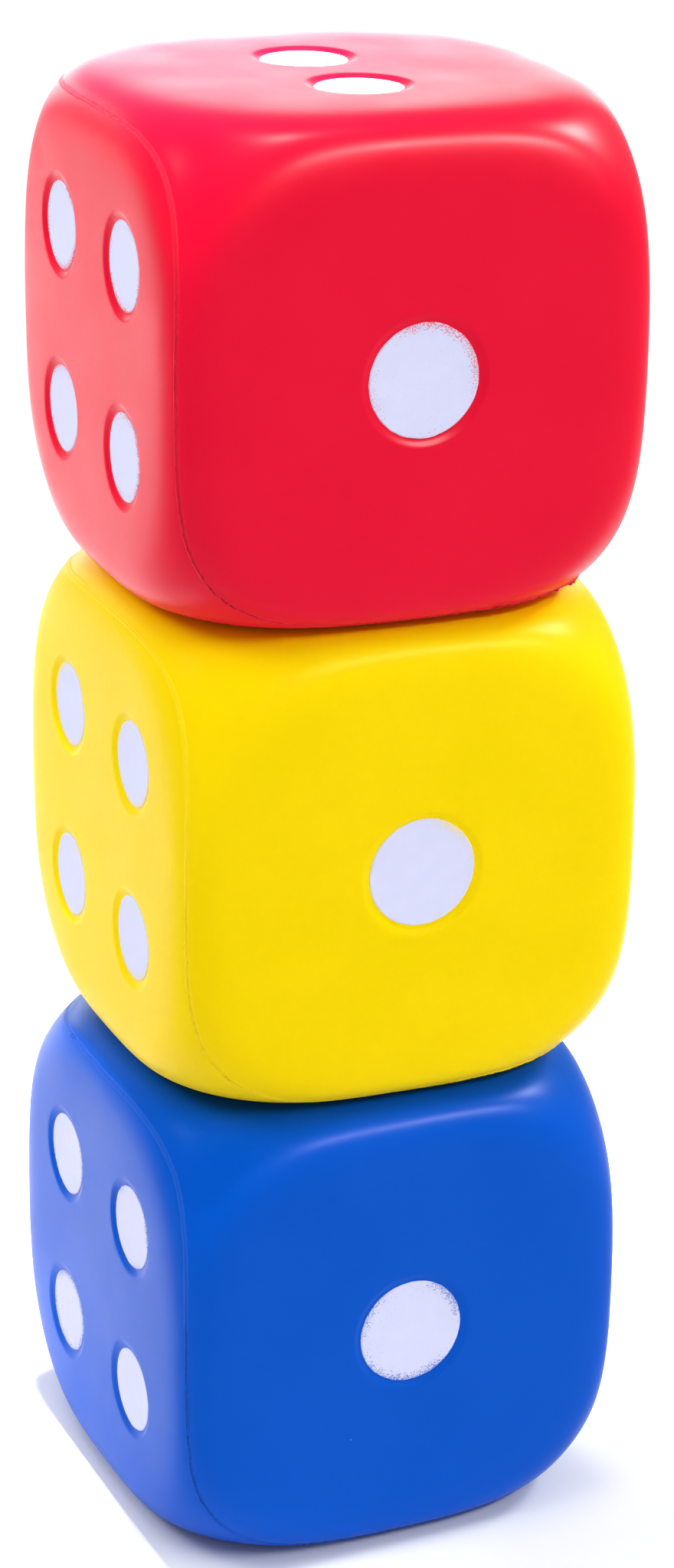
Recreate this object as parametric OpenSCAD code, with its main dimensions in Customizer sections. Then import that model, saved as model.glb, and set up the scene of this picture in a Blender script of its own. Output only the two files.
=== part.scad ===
// Giant yard dice: three loose foam dice, piled blue, yellow, red from the ground up.
// +Z is up, the origin is at the middle of the pile's footprint on the ground, and the
// face with the single pip looks along -Y. Sizes are in millimetres.

/* [Die] */
// Edge of a die, from flat face to flat face
die_edge = 160; // [120:5:240]
// Roundness of the corners, where 2 is a ball and more is squarer
corner_power = 2.56; // [2.3:0.02:3]
// Reach of the rounded form past the flat faces, as a share of half the edge
corner_reach = 1.27; // [1.2:0.01:1.4]
// Tightness of the bend from face to corner, where less is softer
bend_tightness = 30; // [16:2:60]
// Steps of the surface across one face
face_steps = 18; // [10:2:24]

/* [Pips] */
// Painted diameter of the single pip
single_pip_d = 36; // [24:1:40]
// Painted diameter of every other pip
pip_d = 28; // [18:1:28]
// Depth of a pip's recess
recess_depth = 1.5; // [1:0.5:5]
// Growth of a recess's radius from its floor to its mouth
recess_flare = 3; // [1:0.5:3.5]
// Thickness of the paint on a recess's floor
paint_thickness = 0.5; // [0.2:0.1:0.8]
// Offset of the corner pips from a face's middle, each way
corner_pip_offset = 30; // [26:0.5:34]
// Offset of the two pips from their face's middle
pair_offset = 23.5; // [18:0.5:34]
// Offset of the outer rows of the six pips from the middle row
six_row_offset = 36; // [35.5:0.5:40]

/* [Pile] */
// Middle of the bottom die on the ground, X and Y
bottom_place = [-3, -4]; // [-10:1:10]
// Middle of the middle die, X and Y
middle_place = [1, 0]; // [-10:1:10]
// Middle of the top die, X and Y
top_place = [0, 1]; // [-10:1:10]
// Turn of the middle die about the vertical, in degrees
middle_turn = -1.4; // [-10:0.1:10]
// Turn of the top die about the vertical, in degrees
top_turn = -2.4; // [-10:0.1:10]

/* [Hidden] */
$fn = 96;

half = die_edge / 2;
// The rounded form stands this far past each flat face, and is cut off level with it
face_trim = 0.15;
// A recess's cutter passes the face by this much
cut_past = 1;

blue_foam = "#0a50c8";
yellow_foam = "#fde00f";
red_foam = "#eb1c37";
white_paint = "#f1f0fb";

// Turn that takes the top of a die to the face with a number; opposite faces add up to 7
face_turns = [[90, 0, 0], [0, 0, 0], [0, 90, 0], [0, -90, 0], [180, 0, 0], [-90, 0, 0]];

// Places of the pips on a face, by its number
corner_pips = [for (x = [-1, 1], y = [-1, 1]) corner_pip_offset * [x, y]];
diagonal_pips = [for (side = [-1, 1]) corner_pip_offset * [side, side]];
middle_pip = [[0, 0]];
pip_places = [
    middle_pip,
    [for (side = [-1, 1]) [0, side * pair_offset]],
    concat(diagonal_pips, middle_pip),
    corner_pips,
    concat(corner_pips, middle_pip),
    [for (x = [-1, 1], row = [-1, 0, 1]) [x * corner_pip_offset, row * six_row_offset]]
];

function pip_radius(number) = (number == 1 ? single_pip_d : pip_d) / 2;

// One over the distance to the rounded form along a direction
function round_gauge(d) =
    pow(pow(abs(d.x), corner_power) + pow(abs(d.y), corner_power) + pow(abs(d.z), corner_power),
        1 / corner_power) / (half * corner_reach);

// One over the distance to the flat faces along a direction
function flat_gauge(d) = max(abs(d.x), abs(d.y), abs(d.z)) / (half + face_trim);

// Point of the die's skin along a direction: the nearer of the two forms, blended where they meet
function skin_point(d) =
    d / pow(pow(round_gauge(d), bend_tightness) + pow(flat_gauge(d), bend_tightness),
        1 / bend_tightness);

// Even steps of angle across one face, as slopes
function slope(step) = tan(step * 90 / face_steps - 45);

row_length = face_steps + 1;
face_slopes = [for (i = [0 : face_steps], j = [0 : face_steps]) [slope(i), slope(j)]];
skin_points = concat(
    [for (s = face_slopes) skin_point([s[0], s[1], 1])],
    [for (s = face_slopes) skin_point([s[1], s[0], -1])],
    [for (s = face_slopes) skin_point([1, s[0], s[1]])],
    [for (s = face_slopes) skin_point([-1, s[1], s[0]])],
    [for (s = face_slopes) skin_point([s[1], 1, s[0]])],
    [for (s = face_slopes) skin_point([s[0], -1, s[1]])]
);
skin_triangles = [
    for (face = [0 : 5], i = [0 : face_steps - 1], j = [0 : face_steps - 1])
        let (
            a = (face * row_length + i) * row_length + j,
            b = a + 1,
            c = a + row_length,
            d = c + 1
        )
        each [[a, b, c], [c, b, d]]
];

// Puts its children on the face with a number, at each of its pips' places
module at_pips(number)
    rotate(face_turns[number - 1])
        for (place = pip_places[number - 1])
            translate([place[0], place[1], half - recess_depth]) children();

// Cutter of one recess, wider towards the face
module recess(radius)
    cylinder(
        h = recess_depth + cut_past,
        r1 = radius,
        r2 = radius + recess_flare * (recess_depth + cut_past) / recess_depth
    );

// The foam moulding of one die, about its own middle
module foam_die()
    difference() {
        intersection() {
            polyhedron(skin_points, skin_triangles);
            cube(die_edge, center = true);
        }
        for (number = [1 : 6])
            at_pips(number) recess(pip_radius(number));
    }

// The paint in the recesses of one face, a thin disc on each floor
module face_paint(number)
    at_pips(number) cylinder(h = paint_thickness, r = pip_radius(number));

// Puts its children at a die's place in the pile
module at_bottom() translate([bottom_place[0], bottom_place[1], half]) children();
module at_middle()
    translate([middle_place[0], middle_place[1], half + die_edge])
        rotate(middle_turn) children();
module at_top()
    translate([top_place[0], top_place[1], half + 2 * die_edge])
        rotate(top_turn) children();

module blue_die() color(blue_foam) at_bottom() foam_die();
module blue_pip_one() color(white_paint) at_bottom() face_paint(1);
module blue_pips_two() color(white_paint) at_bottom() face_paint(2);
module blue_pips_three() color(white_paint) at_bottom() face_paint(3);
module blue_pips_four() color(white_paint) at_bottom() face_paint(4);
module blue_pips_five() color(white_paint) at_bottom() face_paint(5);
module blue_pips_six() color(white_paint) at_bottom() face_paint(6);

module yellow_die() color(yellow_foam) at_middle() foam_die();
module yellow_pip_one() color(white_paint) at_middle() face_paint(1);
module yellow_pips_two() color(white_paint) at_middle() face_paint(2);
module yellow_pips_three() color(white_paint) at_middle() face_paint(3);
module yellow_pips_four() color(white_paint) at_middle() face_paint(4);
module yellow_pips_five() color(white_paint) at_middle() face_paint(5);
module yellow_pips_six() color(white_paint) at_middle() face_paint(6);

module red_die() color(red_foam) at_top() foam_die();
module red_pip_one() color(white_paint) at_top() face_paint(1);
module red_pips_two() color(white_paint) at_top() face_paint(2);
module red_pips_three() color(white_paint) at_top() face_paint(3);
module red_pips_four() color(white_paint) at_top() face_paint(4);
module red_pips_five() color(white_paint) at_top() face_paint(5);
module red_pips_six() color(white_paint) at_top() face_paint(6);

blue_die();
blue_pip_one();
blue_pips_two();
blue_pips_three();
blue_pips_four();
blue_pips_five();
blue_pips_six();
yellow_die();
yellow_pip_one();
yellow_pips_two();
yellow_pips_three();
yellow_pips_four();
yellow_pips_five();
yellow_pips_six();
red_die();
red_pip_one();
red_pips_two();
red_pips_three();
red_pips_four();
red_pips_five();
red_pips_six();
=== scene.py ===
"""Giant yard dice: three soft foam mouldings piled up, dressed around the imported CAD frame.

Each die is one polyurethane moulding: a satin skin with faint unevenness, the trimmed line
where the two halves of its mould met, and dished recesses with painted floors. Sizes are in
metres, in the frame of the CAD model. The face with the single pip looks along -Y.
"""
import math

import bpy
import numpy as np
from mathutils import Matrix, Vector


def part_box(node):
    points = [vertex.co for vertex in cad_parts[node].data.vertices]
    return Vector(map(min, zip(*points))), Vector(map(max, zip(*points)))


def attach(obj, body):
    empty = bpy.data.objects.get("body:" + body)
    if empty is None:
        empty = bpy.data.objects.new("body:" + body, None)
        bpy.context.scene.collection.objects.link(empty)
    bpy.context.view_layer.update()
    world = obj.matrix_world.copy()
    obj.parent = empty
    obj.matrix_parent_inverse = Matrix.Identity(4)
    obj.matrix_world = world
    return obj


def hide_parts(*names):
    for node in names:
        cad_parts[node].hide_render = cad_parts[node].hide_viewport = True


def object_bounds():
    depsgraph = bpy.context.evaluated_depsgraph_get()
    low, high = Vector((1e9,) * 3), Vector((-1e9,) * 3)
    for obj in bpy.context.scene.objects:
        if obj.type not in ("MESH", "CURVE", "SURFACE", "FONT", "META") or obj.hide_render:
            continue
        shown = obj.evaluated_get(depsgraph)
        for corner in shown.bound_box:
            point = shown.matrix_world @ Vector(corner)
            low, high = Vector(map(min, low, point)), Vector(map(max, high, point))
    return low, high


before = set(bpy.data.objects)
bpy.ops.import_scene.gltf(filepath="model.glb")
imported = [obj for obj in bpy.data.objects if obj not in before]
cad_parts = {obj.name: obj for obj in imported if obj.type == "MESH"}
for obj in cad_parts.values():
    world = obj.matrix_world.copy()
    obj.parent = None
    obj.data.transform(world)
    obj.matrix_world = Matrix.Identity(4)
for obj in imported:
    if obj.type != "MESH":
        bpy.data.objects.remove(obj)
CAD_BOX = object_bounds()

MM = 0.001

# ------------------------------------------------------------ sizes from the frame


def node_size(node):
    low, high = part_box(node)
    return high - low


EDGE = node_size("blue_die").z
HALF = EDGE / 2
SINGLE_RADIUS = node_size("blue_pip_one").x / 2
PIP_RADIUS = node_size("blue_pips_two").x / 2
PAIR_OFFSET = node_size("blue_pips_two").y / 2 - PIP_RADIUS
CORNER_OFFSET = node_size("blue_pips_four").y / 2 - PIP_RADIUS
SIX_ROW_OFFSET = node_size("blue_pips_six").z / 2 - PIP_RADIUS
# The back of the paint lies on the recess's floor
RECESS_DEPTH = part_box("blue_pip_one")[1].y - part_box("blue_die")[0].y

# The rounded form and how tightly it bends into the faces, as in the CAD model. It reaches a
# little further here, because the bow of the faces takes something off the corners.
CORNER_POWER = 2.56
CORNER_REACH = 1.275
BEND_TIGHTNESS = 30
# The faces bow out by under 1 mm, while those of the CAD model are flat. More is flatter.
FACE_POWER = 20

# The right, up and outward directions of each numbered face. Opposite faces add up to 7.
FACE_AXES = {
    1: ((1, 0, 0), (0, 0, 1), (0, -1, 0)),
    2: ((1, 0, 0), (0, 1, 0), (0, 0, 1)),
    3: ((0, 0, -1), (0, 1, 0), (1, 0, 0)),
    4: ((0, 0, 1), (0, 1, 0), (-1, 0, 0)),
    5: ((1, 0, 0), (0, -1, 0), (0, 0, -1)),
    6: ((1, 0, 0), (0, 0, -1), (0, 1, 0)),
}
MIDDLE = [(0, 0)]
DIAGONAL = [(side * CORNER_OFFSET, side * CORNER_OFFSET) for side in (-1, 1)]
CORNERS = [(x * CORNER_OFFSET, y * CORNER_OFFSET) for x in (-1, 1) for y in (-1, 1)]
PIP_PLACES = {
    1: MIDDLE,
    2: [(0, side * PAIR_OFFSET) for side in (-1, 1)],
    3: DIAGONAL + MIDDLE,
    4: CORNERS,
    5: CORNERS + MIDDLE,
    6: [(x * CORNER_OFFSET, row * SIX_ROW_OFFSET) for x in (-1, 1) for row in (-1, 0, 1)],
}
PIP_NODES = {
    1: "pip_one",
    2: "pips_two",
    3: "pips_three",
    4: "pips_four",
    5: "pips_five",
    6: "pips_six",
}


def pip_radius(number):
    return SINGLE_RADIUS if number == 1 else PIP_RADIUS


# ------------------------------------------------------------ the form of a die


def gauge(points):
    """1 on a die's skin, and in proportion to the distance from its middle elsewhere."""
    sizes = np.abs(points)
    rounded = (sizes**CORNER_POWER).sum(axis=-1) ** (1 / CORNER_POWER) / (HALF * CORNER_REACH)
    flat = (sizes**FACE_POWER).sum(axis=-1) ** (1 / FACE_POWER) / HALF
    return (rounded**BEND_TIGHTNESS + flat**BEND_TIGHTNESS) ** (1 / BEND_TIGHTNESS)


def skin(directions):
    """Points of the skin along directions from the die's middle."""
    return directions / gauge(directions)[..., None]


def gradient(measure, points, step):
    """How a measure of points changes over a step each way along X, Y and Z."""
    changes = [measure(points + step * axis) - measure(points - step * axis) for axis in np.eye(3)]
    return np.stack(changes, axis=-1)


def unit(vectors):
    return vectors / np.linalg.norm(vectors, axis=-1, keepdims=True)


def skin_normals(points):
    return unit(gradient(gauge, points, 0.1 * MM))


def on_face(number, flat):
    """Points of the skin straight out of a die's middle through places on one face's plane."""
    flat = np.asarray(flat, float)
    through = np.concatenate([flat, np.full(flat.shape[:-1] + (1,), HALF)], axis=-1)
    return skin(through @ np.array(FACE_AXES[number], float))


# The mould's halves met along six edges. One half held the faces 1, 2 and 3, towards this
# direction, and the other half the three faces opposite to them.
MOULD_AXIS = np.array([1, -1, 1]) / math.sqrt(3)
MOULD_CORNER_POWER = 4
# How far the line lies off the middle of the rounded edges, as a share of half an edge
MOULD_OFFSET = 0.05


def mould_side(directions):
    """Above 0 on one half of the mould, below 0 on the other, and 0 on the line between."""
    turned = directions * np.sign(MOULD_AXIS)
    turned = turned / np.abs(turned).max(axis=-1, keepdims=True)

    def reach(parts):
        total = (np.clip(parts, 0, None) ** MOULD_CORNER_POWER).sum(axis=-1)
        return total ** (1 / MOULD_CORNER_POWER)

    return reach(turned) - reach(-turned) + MOULD_OFFSET


def smooth_noise(random, count, reach):
    """Noise from -1 to 1 round a closed row of places, smoothed over about reach of them."""
    away = np.minimum(np.arange(count), count - np.arange(count))
    kernel = np.exp(-0.5 * (away / reach) ** 2)
    smooth = np.fft.ifft(np.fft.fft(random.normal(size=count)) * np.fft.fft(kernel)).real
    return np.clip(smooth / (2 * smooth.std()), -1, 1)


class Die:
    """One die of the pile: its names in the CAD model, its place, and its own unevenness.

    ridge is how tall its mould line is and tear how torn, both as shares of the usual. A scar
    of the line is a direction from the die's middle, a length, and a height, which is below 0
    where a bit is torn out.
    """

    # The skin sinks in by up to this much, in slow waves
    SINK = 0.35 * MM
    WAVES = 14
    LONGEST_WAVE = 110 * MM
    SHORTEST_WAVE = 28 * MM
    # Beside the mould line, one half of the die lies this much lower than the other. How that
    # fades away from the line and how sharp the step is are on the scale of mould_side.
    LIP_DEPTH = 0.25 * MM
    LIP_FADE = 0.09
    LIP_SHARPNESS = 80

    def __init__(self, colour, body, seed, ridge, tear, scars):
        self.colour = colour
        self.body = body
        self.seed = seed
        self.ridge = ridge
        self.tear = tear
        self.scars = scars
        self.random = np.random.default_rng(seed)
        lengths = np.geomspace(self.LONGEST_WAVE, self.SHORTEST_WAVE, self.WAVES)
        headings = unit(self.random.normal(size=(self.WAVES, 3)))
        self.waves = headings * (2 * math.pi / lengths)[:, None]
        self.phases = self.random.uniform(0, 2 * math.pi, self.WAVES)
        self.shares = lengths / lengths.sum()
        low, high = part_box(colour + "_die")
        self.place = Matrix.Translation((low + high) / 2) @ Matrix.Rotation(self.turn(), 4, "Z")

    def turn(self):
        """Turn about the vertical, from the line between the two pips on the top face."""
        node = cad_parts[self.colour + "_pips_two"]
        points = np.array([vertex.co for vertex in node.data.vertices])
        behind = points[:, 1] > points[:, 1].mean()
        pips = (points[~behind], points[behind])
        front, back = ((pip.min(axis=0) + pip.max(axis=0)) / 2 for pip in pips)
        line = back - front
        return -math.atan2(line[0], line[1])

    def relief(self, points):
        """Height of the moulded surface over the ideal skin, which it never passes."""
        swing = np.sin(points @ self.waves.T + self.phases) @ self.shares
        sink = self.SINK * (0.5 - np.clip(swing, -0.5, 0.5))
        side = mould_side(points)
        lower_half = 0.5 + 0.5 * np.tanh(side * self.LIP_SHARPNESS)
        return -sink - self.LIP_DEPTH * lower_half * np.exp(-np.abs(side) / self.LIP_FADE)

    def surface(self, points):
        """Points on the skin, moved to the moulded surface."""
        return points + self.relief(points)[..., None] * skin_normals(points)


# ------------------------------------------------------------ meshes in the making


class MeshData:
    """Points, a number at each point, and faces, gathered piece by piece."""

    def __init__(self):
        self.points = []
        self.values = []
        self.faces = []
        self.count = 0

    def add_points(self, points, value=0.0):
        points = np.asarray(points, float).reshape(-1, 3)
        self.points.append(points)
        self.values.append(np.broadcast_to(value, len(points)))
        self.count += len(points)
        return np.arange(self.count - len(points), self.count)

    def add_band(self, ring, next_ring):
        """Quads between two closed rows of as many points."""
        ends = [ring, np.roll(ring, -1), np.roll(next_ring, -1), next_ring]
        self.faces += np.stack(ends, axis=1).tolist()

    def add_fan(self, ring, tip):
        self.faces += [[a, b, tip] for a, b in zip(ring, np.roll(ring, -1))]

    def build(self, name, place, material, value_name=None):
        """The finished piece, with points that lie on each other merged."""
        points = np.concatenate(self.points)
        grid = np.round(points / (MM / 1000)).astype(np.int64)
        _, first, same = np.unique(grid, axis=0, return_index=True, return_inverse=True)
        same = same.reshape(-1)
        mesh = bpy.data.meshes.new(name)
        mesh.from_pydata(points[first].tolist(), [], [same[face].tolist() for face in self.faces])
        if value_name:
            values = np.concatenate(self.values)[first].astype(np.float32)
            mesh.attributes.new(value_name, "FLOAT", "POINT").data.foreach_set("value", values)
        mesh.shade_smooth()
        mesh.materials.append(material)
        piece = bpy.data.objects.new(name, mesh)
        bpy.context.scene.collection.objects.link(piece)
        piece.matrix_world = place
        return piece


# ------------------------------------------------------------ the foam

# Lines of a face's grid: this far apart over the flat, and closer where the surface bends
GRID_STEP = 2 * MM
FLAT_EDGE = 60 * MM
BEND_EDGE = 72 * MM
BEND_STEPS = 11
# How far past the painted floor a recess's rim still bends, and how far past that the grid's
# cells give way to the rings of a recess
RIM_WIDTH = 3.4 * MM
RIM_MARGIN = 0.4 * MM
# The part of a recess's depth that is the hollow of its floor
FLOOR_DISH = 0.4 * MM
# Rings of points are close together down to this far inside the painted floor's edge
WALL_FOOT = 0.6 * MM
WALL_RINGS = 14
FLOOR_RINGS = 6
# The number at each point of the foam is its distance from the mould line, up to this
FAR_FROM_LINE = 20 * MM


def grid_lines():
    flat = np.arange(1, round(FLAT_EDGE / GRID_STEP) + 1) * GRID_STEP
    bend = np.linspace(FLAT_EDGE, BEND_EDGE, BEND_STEPS)[1:]
    edge = np.linspace(BEND_EDGE, HALF, BEND_STEPS)[1:]
    side = np.concatenate([flat, bend, edge])
    return np.concatenate([-side[::-1], [0], side])


LINES = grid_lines()


def recess(distance, radius):
    """Depth of a pip's recess at a distance from its middle: a soft rim, a wall and a dish."""
    wall = np.clip((radius + RIM_WIDTH - distance) / RIM_WIDTH, 0, 1)
    wall = wall * wall * (3 - 2 * wall)
    dish = np.clip(1 - (distance / radius) ** 2, 0, 1)
    return (RECESS_DEPTH - FLOOR_DISH) * wall + FLOOR_DISH * dish


def recessed(die, number, place, flat, radius, raised=0.0):
    """Points of the moulded surface in a recess, some way above its floor."""
    distance = np.linalg.norm(flat - np.array(place), axis=-1)
    out = np.array(FACE_AXES[number][2], float)
    sunk = raised - recess(distance, radius)
    return die.surface(on_face(number, flat)) + sunk[..., None] * out


def cells_in_recess(place, radius):
    """Cells of a face's grid that a recess reaches."""
    away = [np.maximum(LINES[:-1] - middle, middle - LINES[1:]).clip(0) for middle in place]
    return np.hypot(away[0][:, None], away[1][None, :]) < radius + RIM_WIDTH + RIM_MARGIN


def border_of(cells):
    """Grid points where the chosen cells meet the others."""
    inner = np.pad(cells, 1, constant_values=False)
    corners = [inner[1:, 1:], inner[:-1, 1:], inner[1:, :-1], inner[:-1, :-1]]
    return np.nonzero(np.any(corners, axis=0) & ~np.all(corners, axis=0))


def add_recess(data, die, number, ids, place):
    """Rings of quads from the border of the recess's grid cells down to its middle."""
    radius = pip_radius(number)
    cells = cells_in_recess(place, radius)
    i, j = border_of(cells)
    away = np.stack([LINES[i], LINES[j]], axis=1) - np.array(place)
    order = np.argsort(np.arctan2(away[:, 1], away[:, 0]))
    spokes = away[order] / np.linalg.norm(away[order], axis=1, keepdims=True)
    ring = ids[i, j][order]
    foot = radius - WALL_FOOT
    distances = np.linspace(radius + RIM_WIDTH, foot, WALL_RINGS).tolist()
    distances += np.linspace(foot, 0, FLOOR_RINGS + 1)[1:-1].tolist()
    for distance in distances:
        flat = np.array(place) + distance * spokes
        points = recessed(die, number, place, flat, radius)
        next_ring = data.add_points(points, FAR_FROM_LINE)
        data.add_band(ring, next_ring)
        ring = next_ring
    middle = recessed(die, number, place, np.array([place], float), radius)
    data.add_fan(ring, data.add_points(middle, FAR_FROM_LINE)[0])
    return cells


def distance_to_line(points):
    """Rough distance from points of the skin to the mould line."""
    step = 0.5 * MM
    steepness = np.linalg.norm(gradient(mould_side, points, step), axis=-1) / (2 * step)
    return np.clip(np.abs(mould_side(points)) / np.maximum(steepness, 1), 0, FAR_FROM_LINE)


def add_face(data, die, number):
    """One face of a die out to its edges, with its recesses."""
    flat = np.stack(np.meshgrid(LINES, LINES, indexing="ij"), axis=-1)
    ideal = on_face(number, flat).reshape(-1, 3)
    ids = data.add_points(die.surface(ideal), distance_to_line(ideal)).reshape(flat.shape[:2])
    free = np.ones((len(LINES) - 1, len(LINES) - 1), bool)
    for place in PIP_PLACES[number]:
        free &= ~add_recess(data, die, number, ids, place)
    i, j = np.nonzero(free)
    corners = [ids[i, j], ids[i + 1, j], ids[i + 1, j + 1], ids[i, j + 1]]
    data.faces += np.stack(corners, axis=1).tolist()


def make_foam(die, material):
    """The foam moulding of one die."""
    data = MeshData()
    for number in FACE_AXES:
        add_face(data, die, number)
    foam = data.build(die.colour + "_foam", die.place, material, "line_distance")
    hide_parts(die.colour + "_die")
    return foam


# ------------------------------------------------------------ the mould line

LINE_STEPS = 3600
# Rows of points across the trimmed flash, and the row inside the foam that closes it below
LINE_ACROSS = np.linspace(-1.3, 1.3, 14) * MM
LINE_FOOT = -1.2 * MM
# The low bead that the line stands on, and the two ridges of the cut flash
BEAD_HEIGHT = 0.10 * MM
BEAD_REACH = 1.0 * MM
RIDGE_WIDTH = 0.22 * MM
RIDGE_HEIGHT = 0.26 * MM
PIT_DEPTH = 0.5 * MM
# How far the line strays to its sides, and over how many of its points each stray is smooth
STRAYS = ((0.4 * MM, 90), (0.15 * MM, 12), (0.08 * MM, 2))
# What wavers along the line, each as its lowest and highest value and over how many points it
# is smooth: a ridge's height, as a share, its distance from the middle, and the tear
RIDGE_SHARES = (0.1, 1.3, 40)
RIDGE_PLACES = (0.15 * MM, 0.8 * MM, 90)
TEAR_SHARES = (0.2, 1.2, 60)
# The line is torn more towards a die's foot: its tear times this at the top, and 1 more below
TEAR_AT_TOP = 0.3
# How far the torn strip reaches. At 1 it ends at the outside of the ridges.
STRIP_REACH = 1.2
# More makes the walls of the pits steeper
PIT_CONTRAST = 2.5
# How open the foam looks beside the pits where the line is fully torn, painted darker as shade
OPEN_BESIDE_PITS = 0.3
# The depth or the height of a scar at which the line counts as torn right open
TORN_OPEN = 0.5 * MM
# The part of a scar's height that is ragged, and how deep one is dug, as a share of its depth
SCAR_RAGGED = 0.4
DUG_SHARE = 0.4
# The line is found by halving a search along the mould's axis, from this far out each way
SEARCH_REACH = 1.5
SEARCH_STEPS = 40


def mould_line():
    """Points along the mould line on the skin, all the way round."""
    first = unit(np.cross(MOULD_AXIS, (0, 0, 1)))
    second = np.cross(MOULD_AXIS, first)
    turns = np.linspace(0, 2 * math.pi, LINE_STEPS, endpoint=False)[:, None]
    level = np.cos(turns) * first + np.sin(turns) * second
    low = np.full((LINE_STEPS, 1), -SEARCH_REACH)
    high = np.full((LINE_STEPS, 1), SEARCH_REACH)
    for _ in range(SEARCH_STEPS):
        middle = (low + high) / 2
        above = (mould_side(level + middle * MOULD_AXIS) > 0)[:, None]
        high = np.where(above, middle, high)
        low = np.where(above, low, middle)
    return skin(level + middle * MOULD_AXIS)


def scar_heights(die, points):
    """Height of the scars along the line: above 0 where flash is left on, below 0 where torn."""
    steps = np.linalg.norm(np.roll(points, -1, axis=0) - points, axis=1)
    along = np.cumsum(steps)
    height = np.zeros(len(points))
    for towards, length, tall in die.scars:
        nearest = np.argmax(unit(points) @ unit(np.array(towards, float)))
        away = np.abs(along - along[nearest])
        away = np.minimum(away, along[-1] - away)
        ragged = 1 - SCAR_RAGGED + SCAR_RAGGED * smooth_noise(die.random, len(points), 3)
        height += tall * ragged * np.clip(1 - (2 * away / length) ** 4, 0, 1)
    return height


def line_relief(die, points):
    """Heights across the line and how torn it is there, with a row for each point along it."""

    def waver(low, high, reach):
        return low + (high - low) * (0.5 + 0.5 * smooth_noise(die.random, len(points), reach))

    across = LINE_ACROSS[None, :]
    lowness = 0.5 - 0.5 * points[:, 2] / HALF
    scars = scar_heights(die, points)
    torn = die.tear * waver(*TEAR_SHARES) * (TEAR_AT_TOP + lowness) + np.abs(scars) / TORN_OPEN
    torn = np.clip(torn, 0, 1)[:, None]
    apart = waver(*RIDGE_PLACES)[:, None]
    height = BEAD_HEIGHT * (1 - (across / BEAD_REACH) ** 2) * np.ones_like(torn)
    for side in (-1, 1):
        tall = RIDGE_HEIGHT * die.ridge * waver(*RIDGE_SHARES)[:, None]
        height += tall * np.exp(-(((across - side * apart) / RIDGE_WIDTH) ** 2))
    crumbs = [smooth_noise(die.random, len(points), 2) for _ in LINE_ACROSS]
    crumbs = np.stack(crumbs, axis=1)
    inside = np.clip(STRIP_REACH - np.abs(across) / (apart + RIDGE_WIDTH), 0, 1)
    shaded_pits = np.clip(PIT_CONTRAST * crumbs, 0, 1) * torn * inside
    left_on = np.clip(scars, 0, None)[:, None] * np.exp(-((across / (2 * RIDGE_WIDTH)) ** 4))
    dug = np.clip(scars, None, 0)[:, None] * inside
    torn_out = np.clip(-scars / TORN_OPEN, 0, 1)[:, None]
    # The share of open foam, pits included, which the line's material paints darker as painted
    # shade
    shaded_open_foam = shaded_pits + inside * (OPEN_BESIDE_PITS * torn + torn_out)
    return height - PIT_DEPTH * shaded_pits + left_on + DUG_SHARE * dug, np.clip(shaded_open_foam, 0, 1)


def make_line(die, material):
    """The trimmed flash along the mould line, a low bead that sits in the skin."""
    points = mould_line()
    wobble = sum(stray * smooth_noise(die.random, LINE_STEPS, reach) for stray, reach in STRAYS)
    ahead = unit(np.roll(points, -1, axis=0) - np.roll(points, 1, axis=0))
    normals = skin_normals(points)
    aside = np.cross(normals, ahead)
    heights, torn = line_relief(die, points)
    data = MeshData()
    rows = []
    for place, height, share in zip(LINE_ACROSS, heights.T, torn.T):
        beside = die.surface(skin(points + (place + wobble)[:, None] * aside))
        rows.append(data.add_points(beside + height[:, None] * normals, share))
    rows.append(data.add_points(points + LINE_FOOT * normals + wobble[:, None] * aside))
    for row, next_row in zip(rows, rows[1:] + rows[:1]):
        data.add_band(row, next_row)
    line = data.build(die.colour + "_mould_line", die.place, material, "torn")
    return line


# ------------------------------------------------------------ the paint

PAINT_SPOKES = 160
# A coat reaches this far above and below the recess's floor, and a share of it at its edge
PAINT_THICKNESS = 0.22 * MM
PAINT_EDGE = 0.15
# How ragged the edge is, as layers: a share of it, and over how many points that is smooth
PAINT_RAGGED = 0.16 * MM
PAINT_RAGGED_LAYERS = ((0.5, 1), (0.8, 9))
# How far a coat may lie off the middle of its recess, each way
PAINT_SHIFT = 0.35 * MM
# Rings of a painted disc, as shares of its radius from the middle out
PAINT_RINGS = np.concatenate([np.linspace(0.1, 0.9, 8), np.linspace(0.925, 1, 4)])


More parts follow.
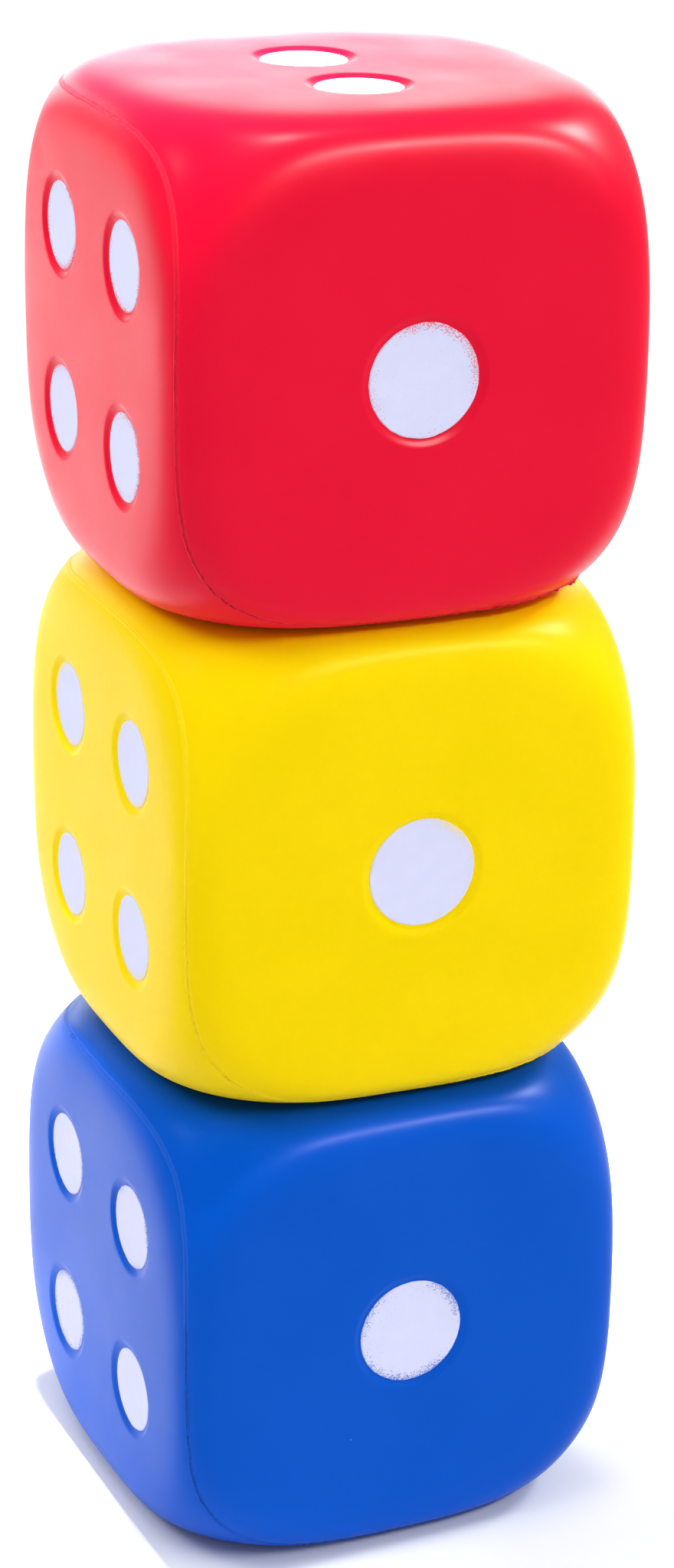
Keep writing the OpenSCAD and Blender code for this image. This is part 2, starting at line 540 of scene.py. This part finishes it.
def make_paint(die, number, material):
    """The paint on the recess floors of one face: thin dished discs with ragged edges."""
    radius = pip_radius(number)
    turns = np.linspace(0, 2 * math.pi, PAINT_SPOKES, endpoint=False)
    circle = np.stack([np.cos(turns), np.sin(turns)], axis=1)
    data = MeshData()
    for place in PIP_PLACES[number]:
        middle = np.array(place) + die.random.uniform(-PAINT_SHIFT, PAINT_SHIFT, 2)
        ragged = sum(
            share * smooth_noise(die.random, PAINT_SPOKES, reach)
            for share, reach in PAINT_RAGGED_LAYERS
        )
        outline = (radius + PAINT_RAGGED * ragged)[:, None] * circle
        rings, tips = [], []
        for side in (-1, 1):
            for share in PAINT_RINGS[:: -side]:
                thin = side * PAINT_THICKNESS * (PAINT_EDGE if share == 1 else 1)
                points = recessed(die, number, place, middle + share * outline, radius, thin)
                rings.append(data.add_points(points, share))
            tip = recessed(die, number, place, middle[None], radius, side * PAINT_THICKNESS)
            tips.append(data.add_points(tip)[0])
        for ring, next_ring in zip(rings, rings[1:]):
            data.add_band(ring, next_ring)
        data.add_fan(rings[0][::-1], tips[0])
        data.add_fan(rings[-1], tips[1])
    name = die.colour + "_" + PIP_NODES[number]
    paint = data.build(name + "_paint", die.place, material, "share_of_radius")
    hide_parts(name)
    return paint


# ------------------------------------------------------------ materials


class Shader:
    """A material in the making: nodes of its own and a Principled surface."""

    def __init__(self, name, gloss, tint=(1, 1, 1)):
        self.material = bpy.data.materials.new(name)
        self.material.use_nodes = True
        self.tree = self.material.node_tree
        self.surface = self.tree.nodes["Principled BSDF"]
        self.surface.inputs["Specular IOR Level"].default_value = gloss
        self.surface.inputs["Specular Tint"].default_value = (*tint, 1)
        self.places = self.node("ShaderNodeTexCoord").outputs["Object"]

    def node(self, kind, inputs=(), **settings):
        node = self.tree.nodes.new(kind)
        for key, value in settings.items():
            setattr(node, key, value)
        for key, value in dict(inputs).items():
            if isinstance(value, bpy.types.NodeSocket):
                self.tree.links.new(value, node.inputs[key])
            else:
                node.inputs[key].default_value = value
        return node

    def noise(self, size, seed, detail=2.0, roughness=0.5):
        """Noise from 0 to 1, with features of about the size in metres."""
        inputs = {"Vector": self.places, "Scale": 1 / size, "W": seed}
        inputs |= {"Detail": detail, "Roughness": roughness}
        return self.node("ShaderNodeTexNoise", inputs, noise_dimensions="4D").outputs[0]

    def between(self, value, low, high, to_low=0.0, to_high=1.0):
        """A value carried smoothly from one range to another, and held at its ends."""
        inputs = {0: value, 1: low, 2: high, 3: to_low, 4: to_high}
        kind = "SMOOTHSTEP"
        return self.node("ShaderNodeMapRange", inputs, interpolation_type=kind).outputs[0]

    def math(self, operation, a, b=0.0):
        return self.node("ShaderNodeMath", {0: a, 1: b}, operation=operation).outputs[0]

    def mix(self, share, a, b):
        inputs = {"Factor": share, 6: a, 7: b}
        return self.node("ShaderNodeMix", inputs, data_type="RGBA").outputs[2]

    def dots(self, spacing, radius, share, seed):
        """1 inside small round dots at random places, in a share of the cells of a lattice."""
        inputs = {"Vector": self.places, "Scale": 1 / spacing, "W": seed}
        cells = self.node("ShaderNodeTexVoronoi", inputs, voronoi_dimensions="4D")
        chosen = self.node("ShaderNodeSeparateColor", {0: cells.outputs["Color"]})
        size = self.between(chosen.outputs[0], 1 - share, 1, 0, radius / spacing)
        near = self.math("SUBTRACT", size, cells.outputs["Distance"])
        soft_edge = 0.3 * radius / spacing
        return self.between(near, 0, soft_edge)

    def attribute(self, name):
        return self.node("ShaderNodeAttribute", attribute_name=name).outputs["Fac"]

    def heights(self, *layers):
        """The sum of layers in metres, each a value from 0 to 1 times the layer's height."""
        total = 0.0
        for value, height in layers:
            layer = {0: value, 1: height, 2: total}
            total = self.node("ShaderNodeMath", layer, operation="MULTIPLY_ADD").outputs[0]
        return total

    def finish(self, colour, roughness, height):
        """Links colour, roughness and a height in metres to the surface."""
        bump = self.node("ShaderNodeBump", {"Height": height, "Strength": 1, "Distance": 1})
        for key, value in (("Base Color", colour), ("Roughness", roughness)):
            self.tree.links.new(value, self.surface.inputs[key])
        self.tree.links.new(bump.outputs[0], self.surface.inputs["Normal"])
        return self.material


def shade(colour, amount):
    """A colour made lighter, towards white, or darker, towards black, as RGBA."""
    towards = 1.0 if amount > 0 else 0.0
    return (*(c + abs(amount) * (towards - c) for c in colour), 1.0)


FOAM_COLOURS = {
    "blue": (0.0004, 0.087, 0.56),
    "yellow": (0.95, 0.69, 0.001),
    "red": (0.80, 0.003, 0.031),
}
# The skin's gloss takes some of the foam's colour where it is seen straight on
FOAM_TINTS = {
    "blue": (0.6, 0.6, 1.0),
    "yellow": (1.0, 0.9, 0.3),
    "red": (1.0, 0.75, 0.75),
}
# Specular levels, far below that of hard plastic
FOAM_GLOSS = {"blue": 0.064, "yellow": 0.038, "red": 0.09}
FOAM_ROUGHNESS = (0.30, 0.35)
# Layers of unevenness on the skin: the size of a bump, its detail, and its height
FOAM_BUMPS = (
    (9 * MM, 2, 0.012 * MM),
    (1.1 * MM, 2, 0.010 * MM),
    (0.35 * MM, 1, 0.004 * MM),
)
TORN_ROUGHNESS = (0.42, 0.7)
PAINT_COLOUR = (0.70, 0.72, 0.96)
PAINT_GLOSS = 0.05
PAINT_ROUGHNESS = (0.46, 0.58)


def foam_material(die):
    """Satin self-skinned foam: slow mottling, orange peel, dust specks and tiny pits painted dark
    as shade.
    """
    colour = FOAM_COLOURS[die.colour]
    gloss, tint = FOAM_GLOSS[die.colour], FOAM_TINTS[die.colour]
    shader = Shader(die.colour + "_foam_skin", gloss, tint)
    mottle = shader.between(shader.noise(35 * MM, die.seed, detail=3), 0.35, 0.65)
    base = shader.mix(mottle, shade(colour, -0.025), shade(colour, 0.001))
    # Tiny pits are dents with painted shade darkening them; the specks are lighter dust
    shaded_pits = shader.dots(spacing=5 * MM, radius=0.35 * MM, share=0.25, seed=die.seed + 1)
    specks = shader.dots(spacing=7 * MM, radius=0.30 * MM, share=0.2, seed=die.seed + 2)
    base = shader.mix(shader.math("MULTIPLY", shaded_pits, 0.5), base, shade(colour, -0.6))
    base = shader.mix(shader.math("MULTIPLY", specks, 0.6), base, shade(colour, 0.5))
    polish = shader.noise(25 * MM, die.seed + 3, detail=3)
    roughness = shader.between(polish, 0.3, 0.7, *FOAM_ROUGHNESS)
    # The skin is scuffed beside the mould line, where the flash was cut off
    trimmed = shader.between(shader.attribute("line_distance"), 1 * MM, 5 * MM, 1, 0)
    scuffs = shader.math("MULTIPLY", trimmed, shader.noise(0.9 * MM, die.seed + 13, detail=3))
    layers = [
        (shader.noise(size, die.seed + 4 + number, detail), height)
        for number, (size, detail, height) in enumerate(FOAM_BUMPS)
    ]
    layers += [(scuffs, 0.05 * MM), (shaded_pits, -0.10 * MM), (specks, 0.05 * MM)]
    return shader.finish(base, roughness, shader.heights(*layers))


def line_material(die):
    """Mould line foam: smooth where the bead is whole, open cells painted dark as shade where
    torn.
    """
    colour = FOAM_COLOURS[die.colour]
    gloss, tint = FOAM_GLOSS[die.colour], FOAM_TINTS[die.colour]
    shader = Shader(die.colour + "_foam_torn", gloss, tint)
    torn = shader.attribute("torn")
    rough_noise = shader.noise(0.8 * MM, die.seed + 7, detail=4, roughness=0.65)
    grain = shader.between(rough_noise, 0.35, 0.65)
    # Painted shade: torn foam is darker, for the shade deep in its open cells
    shaded_open_foam = shader.mix(grain, shade(colour, -0.75), shade(colour, -0.3))
    base = shader.mix(torn, shade(colour, 0.01), shaded_open_foam)
    # Painted shade in the hollows of the cells, which are dented too
    cells = shader.dots(spacing=1.1 * MM, radius=0.3 * MM, share=0.6, seed=die.seed + 8)
    cells = shader.math("MULTIPLY", cells, torn)
    base = shader.mix(shader.math("MULTIPLY", cells, 0.7), base, shade(colour, -0.7))
    roughness = shader.between(torn, 0, 1, *TORN_ROUGHNESS)
    height = shader.heights((shader.math("MULTIPLY", grain, torn), 0.08 * MM), (cells, -0.15 * MM))
    return shader.finish(base, roughness, height)


def paint_material(die):
    """Matte white paint, sprayed thin towards one side of the rim so that the foam speckles it."""
    colour = FOAM_COLOURS[die.colour]
    shader = Shader(die.colour + "_pip_paint", PAINT_GLOSS)
    side = shader.between(shader.noise(30 * MM, die.seed + 9, detail=1), 0.45, 0.6)
    rim = shader.between(shader.attribute("share_of_radius"), 0.72, 1.0)
    thin = shader.math("MULTIPLY", shader.math("MULTIPLY", side, rim), 0.22)
    droplets = shader.noise(0.5 * MM, die.seed + 10, detail=3, roughness=0.6)
    spray = shader.math("ADD", droplets, thin)
    bare = shader.between(spray, 0.66, 0.72)
    cloud = shader.between(shader.noise(6 * MM, die.seed + 11, detail=4), 0.3, 0.7)
    white = shader.mix(cloud, shade(PAINT_COLOUR, -0.02), shade(PAINT_COLOUR, 0.01))
    base = shader.mix(shader.math("MULTIPLY", bare, 0.75), white, shade(colour, 0.1))
    roughness = shader.between(cloud, 0, 1, *PAINT_ROUGHNESS)
    grit = shader.noise(0.6 * MM, die.seed + 12)
    height = shader.heights((grit, 0.02 * MM), (bare, -0.04 * MM))
    return shader.finish(base, roughness, height)


# ------------------------------------------------------------ the studio

FLOOR_REACH = 6.0
FLOOR_SPOKES = 96
FLOOR_COLOUR = (0.84, 0.84, 0.85)
FLOOR_GLOSS = 0.2
FLOOR_ROUGHNESS = (0.65, 0.75)

# The camera's place, and its compass direction, downward slope and tilt in degrees
CAMERA_PLACE = (-0.5129, -1.1409, 0.7148)
CAMERA_ANGLES = (24.42, 20.69, 0.87)
CAMERA_LENS = 92.5
CAMERA_SENSOR = 36

# Brightness of the surround, and the places of the lights
SURROUND = 0.4
KEY_PLACE = (0.9, -1.7, 1.8)
BAND_PLACE = (0.9, -1.7, 1.55)
RIGHT_PLACE = (1.65, -0.1, 1.65)
LEFT_PLACE = (-1.37, 0.46, 1.6)
OVERHEAD_PLACE = (-0.7, -0.4, 2.5)
BACKDROP_PLACE = (0.9, 3.6, 0.75)
# This light's narrow beam brightens a patch of the floor that the left faces mirror
FLOOR_LIGHT_PLACE = (-0.314, 1.308, 1.8)
FLOOR_LIGHT_AIM = (-0.339, 1.373, 0)


def make_floor():
    """A large pale sheet that the pile stands on."""
    shader = Shader("studio_floor", FLOOR_GLOSS)
    grain = shader.noise(400 * MM, 1, detail=3)
    mottle = shader.between(grain, 0.3, 0.7)
    base = shader.mix(mottle, shade(FLOOR_COLOUR, -0.01), shade(FLOOR_COLOUR, 0.01))
    roughness = shader.between(grain, 0.3, 0.7, *FLOOR_ROUGHNESS)
    material = shader.finish(base, roughness, shader.heights((shader.noise(2 * MM, 2), 0.01 * MM)))
    data = MeshData()
    turns = np.linspace(0, 2 * math.pi, FLOOR_SPOKES, endpoint=False)
    rim = np.stack([np.cos(turns), np.sin(turns), np.zeros(FLOOR_SPOKES)], axis=1) * FLOOR_REACH
    data.add_fan(data.add_points(rim), data.add_points([[0, 0, 0]])[0])
    ground = Matrix.Translation((0, 0, CAD_BOX[0].z))
    data.build("studio_floor", ground, material)


def make_softbox(name, place, towards, size, radiance, spread=180, shows_in="both"):
    """An evenly bright rectangle of light, aimed at a point, with a beam of some degrees.

    A narrow beam holds the same light, so it is brighter. The light can show in both, or only
    in the "matte" or the "gloss" share of what surfaces reflect.
    """
    light = bpy.data.lights.new(name, "AREA")
    light.shape = "RECTANGLE"
    light.size, light.size_y = size
    light.spread = math.radians(spread)
    light.energy = radiance * math.pi * size[0] * size[1]
    lamp = bpy.data.objects.new(name, light)
    lamp.visible_camera = False
    lamp.visible_diffuse = shows_in != "gloss"
    lamp.visible_glossy = shows_in != "matte"
    lamp.location = place
    lamp.rotation_euler = (Vector(towards) - Vector(place)).to_track_quat("-Z", "Y").to_euler()
    bpy.context.scene.collection.objects.link(lamp)


def make_world(strength):
    world = bpy.data.worlds.new("studio_surround")
    world.use_nodes = True
    background = world.node_tree.nodes["Background"]
    background.inputs["Color"].default_value = (1, 1, 1, 1)
    background.inputs["Strength"].default_value = strength
    bpy.context.scene.world = world


def make_camera():
    """The camera of the picture, turned by its compass, slope and tilt in that order."""
    compass, slope, tilt = (math.radians(angle) for angle in CAMERA_ANGLES)
    level = math.cos(slope)
    ahead = Vector((math.sin(compass) * level, math.cos(compass) * level, -math.sin(slope)))
    right = Vector((math.cos(compass), -math.sin(compass), 0))
    up = right.cross(ahead)
    across = right * math.cos(tilt) + up * math.sin(tilt)
    upwards = up * math.cos(tilt) - right * math.sin(tilt)
    lens = bpy.data.cameras.new("camera")
    lens.sensor_width = CAMERA_SENSOR
    lens.lens = CAMERA_LENS
    camera = bpy.data.objects.new("camera", lens)
    turn = Matrix((across, upwards, -ahead)).transposed().to_4x4()
    camera.matrix_world = Matrix.Translation(CAMERA_PLACE) @ turn
    bpy.context.scene.collection.objects.link(camera)
    bpy.context.scene.camera = camera


def make_lights():
    """Soft lights round the pile, some of which only make the bands and spots in its gloss."""
    top = (0, 0, CAD_BOX[1].z)
    middle = (0, 0, CAD_BOX[1].z / 2)
    make_softbox("key_softbox", KEY_PLACE, middle, size=(1.6, 0.25), radiance=18.5)
    make_softbox(
        "band_strip", BAND_PLACE, middle, size=(1.6, 0.22), radiance=140, shows_in="gloss"
    )
    make_softbox("right_softbox", RIGHT_PLACE, top, size=(0.45, 0.3), radiance=50)
    make_softbox(
        "right_sparkle", RIGHT_PLACE, top, size=(0.45, 0.3), radiance=105, shows_in="gloss"
    )
    make_softbox(
        "left_softbox", LEFT_PLACE, middle, size=(0.7, 0.7), radiance=9.5, shows_in="matte"
    )
    make_softbox(
        "left_sparkle", LEFT_PLACE, middle, size=(0.2, 0.2), radiance=30, shows_in="gloss"
    )
    make_softbox(
        "overhead", OVERHEAD_PLACE, middle, size=(0.9, 0.9), radiance=5.5, shows_in="matte"
    )
    make_softbox(
        "floor_light", FLOOR_LIGHT_PLACE, FLOOR_LIGHT_AIM, size=(0.6, 2.8), radiance=4.7, spread=10
    )
    make_softbox("backdrop", BACKDROP_PLACE, middle, size=(4.0, 1.1), radiance=4.8)


def make_studio():
    make_floor()
    make_world(SURROUND)
    make_lights()
    # Colours come out as stated, without a film-like curve
    bpy.context.scene.view_settings.view_transform = "Standard"


# ------------------------------------------------------------ the pile

# Where flash is left on the dice or torn out of them
BLUE_SCARS = [((-1, -1, -0.35), 85 * MM, -0.45 * MM), ((-1, 0.4, 1), 5 * MM, -0.5 * MM)]
YELLOW_SCARS = [((0.5, -1, -1), 95 * MM, 0.4 * MM), ((-1, -1, -1), 16 * MM, 0.25 * MM)]
RED_SCARS = [
    ((-1, -1, -1), 18 * MM, 0.6 * MM),
    ((0.8, -1, -1), 70 * MM, 0.9 * MM),
    ((1, -1, -1), 6 * MM, 0.5 * MM),
    ((1, -0.6, -1), 50 * MM, 0.5 * MM),
]
DICE = [
    Die("blue", "bottom_die", seed=11, ridge=0.8, tear=0.5, scars=BLUE_SCARS),
    Die("yellow", "middle_die", seed=23, ridge=1.2, tear=0.12, scars=YELLOW_SCARS),
    Die("red", "top_die", seed=37, ridge=1.0, tear=0.85, scars=RED_SCARS),
]

for die in DICE:
    paint = paint_material(die)
    die_pieces = [make_foam(die, foam_material(die)), make_line(die, line_material(die))]
    die_pieces += [make_paint(die, number, paint) for number in PIP_NODES]
    for piece in die_pieces:
        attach(piece, die.body)

make_camera()
make_studio()
